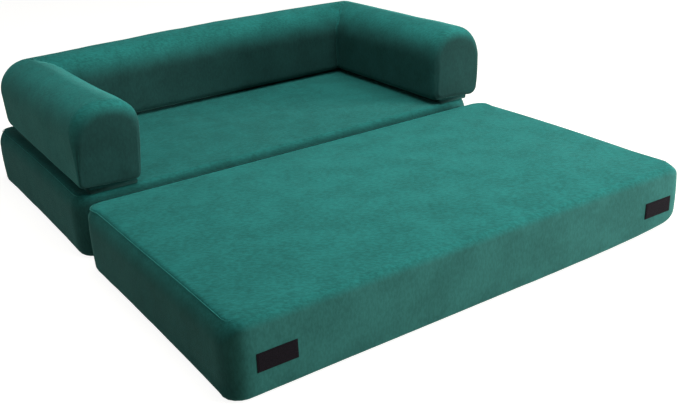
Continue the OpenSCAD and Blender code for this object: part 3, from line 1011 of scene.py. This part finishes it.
def pad_section(outer_in, inner_in):
    """The pad's section, set in from both faces of the bolster, with its height from the bolster's."""
    outer, inner = outer_in + PAD_EDGE, ARM - inner_in - PAD_EDGE
    low, high = pad_low.z + PAD_CLEAR + PAD_EDGE - bolster_low.z, pad_high.z - PAD_EDGE - bolster_low.z
    pairs = []
    for d, z, start in ((outer, low, 180), (outer, high, 90), (inner, high, 0), (inner, low, -90)):
        turns = np.radians(np.linspace(start + 90, start, PAD_EDGE_STEPS))
        pairs += [Vector((d + PAD_EDGE * cos(a), z + PAD_EDGE * sin(a))) for a in turns]
    return pairs


def pad_arm(side):
    pairs = pad_section(*PAD_INSETS[side])
    ys = np.linspace(pad_low.y, back_rear - half_arm, PAD_ARM_STEPS)
    turns = np.linspace(0, QUARTER, PAD_BEND_STEPS)[1:]
    return [[place(side, y, p) for p in pairs] for y in ys] + [
        bend_ring(side, a, pairs, PAD_INNER_CORNER) for a in turns]


def pad_back():
    for x in np.linspace(-span, span, PAD_BACK_STEPS)[1:-1]:
        yield back_ring(x, pad_section(*between(PAD_INSETS[-1], PAD_INSETS[1], (x / span + 1) / 2)))


points, faces = tube(pad_arm(-1) + list(pad_back()) + pad_arm(1)[::-1])
base_pad = finish_mesh("bolster_base_velvet", points, faces, base_shaded_velvet)
fit(base_pad, "bolster_base_pad", "bolster")
print("base pad is", round((pad_high.z - pad_low.z) * 1000), "mm thick")

# %% [markdown]
# The foam can't be seen, but it is there when a cover is unzipped. A core is cut square, and the
# padded cover squeezes its top edges round. So each core repeats its cover's form a finger's width
# further in: the mattress cores with the same outline, and the bolster cores with the same section.

# %% Foam cores
FOAM_ROWS = ((0.042, 0.0), (0.021, 0.05), (0.007, 0.16), (0.0, 0.30), (0.0, 0.62), (0.005, 0.80),
             (0.012, 0.91), (0.022, 0.97), (0.036, 1.0))
FOAM_IN = 0.026
FOAM_BACK = 0.048
JOIN_GAP = 0.0004
FOAM_STEPS = 12
FOAM_BENDS = 9


def mattress_foam(body):
    low, high, middle, half_x, half_y = box_of(body + "_foam_core")
    points = []
    for inset, share in FOAM_ROWS:
        z = low.z + (high.z - low.z) * share
        points += [Vector((p.x, p.y, z))
                   for p, _ in outline_points(half_x, half_y, [inset] * RIM, 0.0, body)]
    faces = ring_faces(len(FOAM_ROWS), RIM)
    for first, z in ((0, low.z), (len(points) - RIM, high.z)):
        faces += grid_faces(first, len(points))
        points += [Vector((p.x, p.y, z)) for p in grid_inside(points[first:first + RIM])]
    centre = Vector((middle.x, middle.y, 0))
    piece = finish_mesh(body + "_foam", [p + centre for p in points], faces, foam)
    fit(piece, body + "_foam_core", body)


def cut_in(pairs):
    """The section drawn in towards its middle by the thickness of the cover."""
    return [p - (p - PANEL_MIDDLE).normalized() * FOAM_IN for p in pairs]


def arm_foam_rings(side):
    first, last = arm_front + FOAM_BACK, back_rear - half_arm
    rings = []
    for share in np.linspace(0, 1, FOAM_STEPS)[:-1]:
        pairs = cut_in(section(*between(FRONT_SHAPES[side], REAR_SHAPE, share)))
        rings.append([place(side, first + (last - first) * share, p) for p in pairs])
    return rings + [bend_ring(side, a, cut_in(rear_section)) for a in np.linspace(0, QUARTER, FOAM_BENDS)]


def back_foam_rings():
    reach = span - JOIN_GAP
    return [back_ring(x, cut_in(rear_section)) for x in np.linspace(-reach, reach, FOAM_STEPS)]


for body in ("rear", "front"):
    mattress_foam(body)
for name, rings in (("left_arm_foam", arm_foam_rings(-1)), ("right_arm_foam", arm_foam_rings(1)),
                    ("back_foam", back_foam_rings())):
    fit(finish_mesh(name, *tube(rings), foam), name + "_core", "bolster")
print("five foam cores")

# %% [markdown]
# The hinge is only a strip of the cover's own velvet, sewn to both top seams. It hangs in a shallow
# bow in the gap, in shade, so its velvet is a darker one. Its mesh is set in place in the scene, and
# the frame's strip is hidden.

# %% Hinge strip
STRIP_T = 0.002
STRIP_ROWS = 14
STRIP_COLUMNS = 80
STRIP_RIPPLE = (0.0012, 0.05, 7.7)
strip_low, strip_high, strip_middle, strip_half_x, strip_half_y = box_of("hinge_strip")
strip_bow = strip_high.z - strip_low.z - STRIP_T


def hinge_strip():
    n, m = STRIP_ROWS, STRIP_COLUMNS
    size, reach, seed = STRIP_RIPPLE
    points, faces = [], []
    for lift in (0, -STRIP_T):
        for x in np.linspace(strip_low.x, strip_high.x, m):
            for t in np.linspace(-1, 1, n):
                hang = (size * soft_waves((x, t, 0), reach, seed) - strip_bow) * (1 - t * t)
                points.append(Vector((x, strip_middle.y + strip_half_y * t, strip_high.z + lift + hang)))
    layer = n * m
    for a in range(m - 1):
        for i in range(a * n, a * n + n - 1):
            j = layer + i
            faces += [(i, i + 1, i + n + 1, i + n), (j, j + n, j + n + 1, j + 1)]
        faces += [(i, i + n, layer + i + n, layer + i) for i in (a * n, a * n + n - 1)]
    for b in range(n - 1):
        faces += [(i, i + 1, layer + i + 1, layer + i) for i in (b, (m - 1) * n + b)]
    return finish_mesh("hinge_strip_velvet", points, faces, strip_velvet)


strip = hinge_strip()
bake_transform(strip)
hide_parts("hinge_strip")

# %% [markdown]
# The two straps behind the bolster are flat webbing. Each leaves the base pad, lies over the rear
# seam and hangs down to its pad. They are modelled as a folded ribbon, which is set in place in the
# scene while the frame's straps are hidden.

# %% Straps
STRAP_T = 0.002
STRAP_BEND = 0.028
STRAP_COLUMNS = 12


def strap_rings(low, high):
    middle_y, middle_z = high.y - STRAP_BEND, high.z - STRAP_BEND
    r = STRAP_BEND - STRAP_T / 2
    path = [(y, middle_z + r) for y in np.linspace(low.y, middle_y, 8)[:-1]]
    path += [(middle_y + r * sin(a), middle_z + r * cos(a)) for a in np.linspace(0, QUARTER, 9)]
    path += [(middle_y + r, z) for z in np.linspace(middle_z, low.z, 10)[1:]]
    xs = np.linspace(low.x, high.x, STRAP_COLUMNS)
    for i, (y, z) in enumerate(path):
        before, after = path[max(i - 1, 0)], path[min(i + 1, len(path) - 1)]
        along = Vector((after[0] - before[0], after[1] - before[1])).normalized()
        out = Vector((0, -along.y, along.x)) * STRAP_T / 2
        row = [Vector((x, y, z)) for x in xs]
        yield [p + out for p in row] + [p - out for p in row[::-1]]


def strap(side):
    low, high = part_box("strap_" + side)
    points, faces = tube(list(strap_rings(low, high)))
    piece = finish_mesh("strap_webbing_" + side, points, faces, webbing, smooth=False)
    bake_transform(piece)
    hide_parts("strap_" + side)


for side in ("left", "right"):
    strap(side)
print("two straps,", round(STRAP_T * 1000), "mm thick")

# %% [markdown]
# A hook-and-loop pad is a stiff backing covered with loops and sewn on round its edge. The loops are
# the material's work, and the model gives the soft border: a narrow margin that the stitching pulls
# down, with the middle standing slightly proud.

# %% Hook-and-loop pads
PAD_MARGIN = 0.004
PAD_STEPS = (0.0, 0.0012, PAD_MARGIN, PAD_MARGIN + 0.0015)
PAD_HEIGHTS = (-0.0010, -0.0004, -0.0006, 0.0)
PAD_MIDDLE_START = 0.012
STITCH_LINE = PAD_MARGIN * 0.65
STITCH_DEPTH = 0.0005
STITCH_PITCH = 0.004
STITCH_LENGTH = 0.0026
STITCH_R = 0.0004


def stitch_row(start, end, out):
    """A row of small raised threads from one point to another on a face that looks along out."""
    along = (end - start).normalized()
    across = along.cross(out).normalized()
    points, faces = [], []
    for i in range(int((end - start).length / STITCH_PITCH)):
        base = start + along * (i + 0.5) * STITCH_PITCH
        first = len(points)
        for shift, rise in ((-0.5, 0.0), (0.0, STITCH_R), (0.5, 0.0)):
            for side in (-1, 1):
                points.append(base + along * shift * STITCH_LENGTH + across * side * STITCH_R + out * rise)
        faces += [tuple(first + k for k in quad) for quad in ((0, 1, 3, 2), (2, 3, 5, 4))]
    return points, faces


def pad_lines(low, high, count):
    """Where the rows of points lie from one edge of the pad to the other."""
    middle = np.linspace(low + PAD_MIDDLE_START, high - PAD_MIDDLE_START, count)
    return [low + s for s in PAD_STEPS] + list(middle) + [high - s for s in reversed(PAD_STEPS)]


def pad_height(value, low, high):
    """The height of the pad's face at some distance from its edges."""
    passed = sum(min(value - low, high - value) > s - 1e-6 for s in PAD_STEPS)
    return PAD_HEIGHTS[passed - 1]


def loop_pad(body, side, out):
    node = f"{body}_loop_pad_{side}"
    low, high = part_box(node)
    face_y, back_y = (low.y, high.y) if out < 0 else (high.y, low.y)
    xs, zs = pad_lines(low.x, high.x, 14), pad_lines(low.z, high.z, 6)
    points = [Vector((x, face_y + out * min(pad_height(x, low.x, high.x), pad_height(z, low.z, high.z)), z))
              for z in zs for x in xs]
    n, m = len(xs), len(zs)
    faces = [(j * n + i, j * n + i + 1, (j + 1) * n + i + 1, (j + 1) * n + i)
             for j in range(m - 1) for i in range(n - 1)]
    rim = [(i, 0) for i in range(n)] + [(n - 1, j) for j in range(1, m)]
    rim += [(i, m - 1) for i in range(n - 2, -1, -1)] + [(0, j) for j in range(m - 2, 0, -1)]
    first, total = len(points), len(rim)
    points += [Vector((xs[i], back_y, zs[j])) for i, j in rim]
    for k, (i, j) in enumerate(rim):
        p, q = rim[(k + 1) % total]
        faces.append((j * n + i, q * n + p, first + (k + 1) % total, first + k))
    faces.append(tuple(range(first, first + total)))
    x0, x1, z0, z1 = low.x + STITCH_LINE, high.x - STITCH_LINE, low.z + STITCH_LINE, high.z - STITCH_LINE
    corners = [Vector((x, face_y - out * STITCH_DEPTH, z))
               for x, z in ((x0, z0), (x1, z0), (x1, z1), (x0, z1))]
    for k in range(4):
        more, more_faces = stitch_row(corners[k], corners[(k + 1) % 4], Vector((0, out, 0)))
        faces += [tuple(i + len(points) for i in face) for face in more_faces]
        points += more
    piece = finish_mesh(f"{body}_loops_{side}", points, faces, loop_pile, smooth=False)
    fit(piece, node, body)


for body, out in (("front", -1), ("rear", 1)):
    for side in ("left", "right"):
        loop_pad(body, side, out)
print("four pads with", round(STITCH_PITCH * 1000), "mm stitches")

# %% [markdown]
# A zip is two rows of moulded teeth on a woven tape. One tooth is a small block, and the row repeats
# it every two and a half millimetres on alternate sides, so the closed zip looks plaited.

# %% Zips
TAPE_T = 0.0015
ZIP_END = 0.005
TOOTH_PITCH = 0.0025
TOOTH_WIDE = 0.0018
TOOTH_REACH = 0.0024
TOOTH_ROOT = 0.0008
TOOTH_SLIM = 0.0004
BOX_FACES = ((0, 1, 5, 4), (1, 2, 6, 5), (2, 3, 7, 6), (3, 0, 4, 7), (4, 5, 6, 7), (3, 2, 1, 0))


def zip_row(body):
    low, high, middle, _, _ = box_of(body + "_zip_tape")
    tape = low.y + TAPE_T
    points = [Vector((x, y, z)) for x in (low.x, high.x) for y, z in (
        (low.y, low.z), (tape, low.z), (tape, high.z), (low.y, high.z))]
    fabric = finish_mesh(body + "_zip_tape", points, BOX_FACES, zip_cloth, smooth=False)
    points, faces = [], []
    count = int((high.x - low.x - 2 * ZIP_END) / TOOTH_PITCH)
    for i in range(count):
        x = low.x + ZIP_END + i * TOOTH_PITCH
        side = 1 if i % 2 else -1
        z0, z1 = sorted((middle.z + side * TOOTH_REACH, middle.z - side * TOOTH_ROOT))
        faces += [tuple(len(points) + k for k in quad) for quad in BOX_FACES[:5]]
        for y, slim in ((tape, 0.0), (high.y, TOOTH_SLIM)):
            left, right, low_z, high_z = x + slim, x + TOOTH_WIDE - slim, z0 + slim, z1 - slim
            points += [Vector((px, y, pz)) for px, pz in (
                (left, low_z), (right, low_z), (right, high_z), (left, high_z))]
    teeth = finish_mesh(body + "_zip_teeth", points, faces, zip_plastic, smooth=False)
    for piece in (fabric, teeth):
        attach(piece, body)
    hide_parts(body + "_zip_tape")
    return count


print("teeth:", [zip_row(body) for body in ("rear", "front", "bolster")])

# %% [markdown]
# The non-slip panels close the covers from below. They are thin, with a soft edge, and a grid of
# small rubbery dots keeps the bed from creeping over the floor. The dots are real but tiny, so each
# is a flat six-sided button.

# %% Non-slip panels
PLATE_CORNER = 0.026
CORNER_STEPS = 6
PLATE_ROWS = ((0.003, 0.0002), (0.0006, 0.0012), (0.0, 0.003), (0.0006, 0.0050), (0.003, 0.0058))
DOT_R = 0.004
DOT_GAP = 0.045
DOT_MARGIN = 0.05
DOT_LAST = 0.04
DOT_RINGS = ((0.0002, DOT_R), (0.0, DOT_R * 0.8))


def plate_points(half_x, half_y):
    """The corners of a plate with round corners, anticlockwise."""
    points = []
    for k, (sx, sy) in enumerate(((1, 1), (-1, 1), (-1, -1), (1, -1))):
        for a in np.radians(np.linspace(90 * k, 90 * k + 90, CORNER_STEPS + 1)):
            points.append(Vector((sx * (half_x - PLATE_CORNER) + PLATE_CORNER * cos(a),
                                  sy * (half_y - PLATE_CORNER) + PLATE_CORNER * sin(a))))
    return points


def dot_places(half):
    return np.arange(-half + DOT_MARGIN, half - DOT_LAST, DOT_GAP)


def base_panel(body):
    low, high, middle, half_x, half_y = box_of(body + "_base_panel")
    points, faces = tube([[Vector((p.x, p.y, z)) for p in plate_points(half_x - inset, half_y - inset)]
                          for inset, z in PLATE_ROWS])
    for x in dot_places(half_x):
        for y in dot_places(half_y):
            first = len(points)
            for z, r in DOT_RINGS:
                points += [Vector((x + r * cos(a), y + r * sin(a), z))
                           for a in np.radians(np.arange(0, 360, 60))]
            faces += [(first + k, first + (k + 1) % 6, first + 6 + (k + 1) % 6, first + 6 + k)
                      for k in range(6)]
            faces.append(tuple(range(first + 6, first + 12)))
    centre = Vector((middle.x, middle.y, low.z))
    points = [p + centre for p in points]
    piece = finish_mesh(body + "_panel_cloth", points, faces, panel_cloth, smooth=False)
    fit(piece, body + "_base_panel", body)


for body in ("rear", "front"):
    base_panel(body)
print("panels done")

# %% [markdown]
# The zip sliders stay as the frame made them, because their shape is right. They still need their
# finish of brushed nickel.

# %% Finish of the carried-over pieces
for name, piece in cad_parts.items():
    if name.endswith("slider"):
        piece.data.materials.clear()
        piece.data.materials.append(nickel)
        print(name, "gets", nickel.name)

# %% [markdown]
# The photograph shows the bed on plain white. The floor is drawn white only for the camera. To every
# other ray it is a mid grey, which keeps it from filling the shade with bounced light, and its shadow
# stays. The sky behind it works the same way: white to the camera, and dim as a source of light.

# %% Floor and sky
FLOOR_HALF = 30.0
FLOOR_GLOW = 0.92


def seen_directly(tree):
    """One for rays that the camera sends out itself or by way of a shiny or clear thing."""
    rays = add(tree, "ShaderNodeLightPath").outputs
    seen = maths(tree, "MAXIMUM", rays["Is Camera Ray"], rays["Is Glossy Ray"])
    return maths(tree, "MAXIMUM", seen, rays["Is Transmission Ray"])


def floor_material():
    material = bpy.data.materials.new("floor_white")
    tree = empty_tree(material)
    glow = add(tree, "ShaderNodeEmission", Color=(1, 1, 1, 1))
    feed(tree, maths(tree, "MULTIPLY", seen_directly(tree), FLOOR_GLOW), glow.inputs["Strength"])
    matt = add(tree, "ShaderNodeBsdfDiffuse", Color=(0.42, 0.40, 0.34, 1))
    both = add(tree, "ShaderNodeAddShader")
    feed(tree, glow.outputs[0], both.inputs[0])
    feed(tree, matt.outputs[0], both.inputs[1])
    feed(tree, both.outputs[0], add(tree, "ShaderNodeOutputMaterial").inputs[0])
    return material


floor_corners = [Vector((sx * FLOOR_HALF, sy * FLOOR_HALF, -0.0005))
                 for sx, sy in ((-1, -1), (1, -1), (1, 1), (-1, 1))]
floor = finish_mesh("floor", floor_corners, [(0, 1, 2, 3)], floor_material(), smooth=False)

world = bpy.data.worlds.new("studio")
sky = empty_tree(world)
dim = add(sky, "ShaderNodeBackground", Color=(1.0, 0.96, 0.92, 1), Strength=0.06)
white = add(sky, "ShaderNodeBackground", Color=(1, 1, 1, 1), Strength=1.0)
pick = add(sky, "ShaderNodeMixShader")
for source, socket in zip((seen_directly(sky), dim.outputs[0], white.outputs[0]), pick.inputs):
    feed(sky, source, socket)
feed(sky, pick.outputs[0], add(sky, "ShaderNodeOutputWorld").inputs[0])
scene.world = world
print("floor of", 2 * FLOOR_HALF, "m and a dim sky")

# %% [markdown]
# The light is broad and soft. Most of it falls from above and from low on the right, so the left
# faces lie in shade. A weak lamp on the left keeps that shade from turning black. Each lamp has a
# place, a point to aim at, a size in metres and a power in watts.


# %% Lights
def soft_light(name, place, aim, size, power):
    lamp = bpy.data.lights.new(name, "AREA")
    lamp.shape = "RECTANGLE"
    lamp.size, lamp.size_y = size
    lamp.energy = power
    lamp.color = (1.0, 0.985, 0.96)
    light = new_object(name, lamp)
    light.location = place
    light.rotation_euler = (Vector(aim) - Vector(place)).to_track_quat("-Z", "Y").to_euler()
    light.visible_camera = False


soft_light("light_above", (0.7, -1.3, 3.1), (0.2, -0.7, 0.2), (2.8, 3.2), 150)
soft_light("light_right", (5.0, -4.6, 0.6), (0.5, -1.3, 0.2), (2.6, 0.7), 420)
soft_light("light_left", (-3.6, -0.8, 0.6), (-0.9, -0.4, 0.35), (2.0, 0.6), 9)
print("three soft lights")

# %% End of the scene
print("the scene is set")
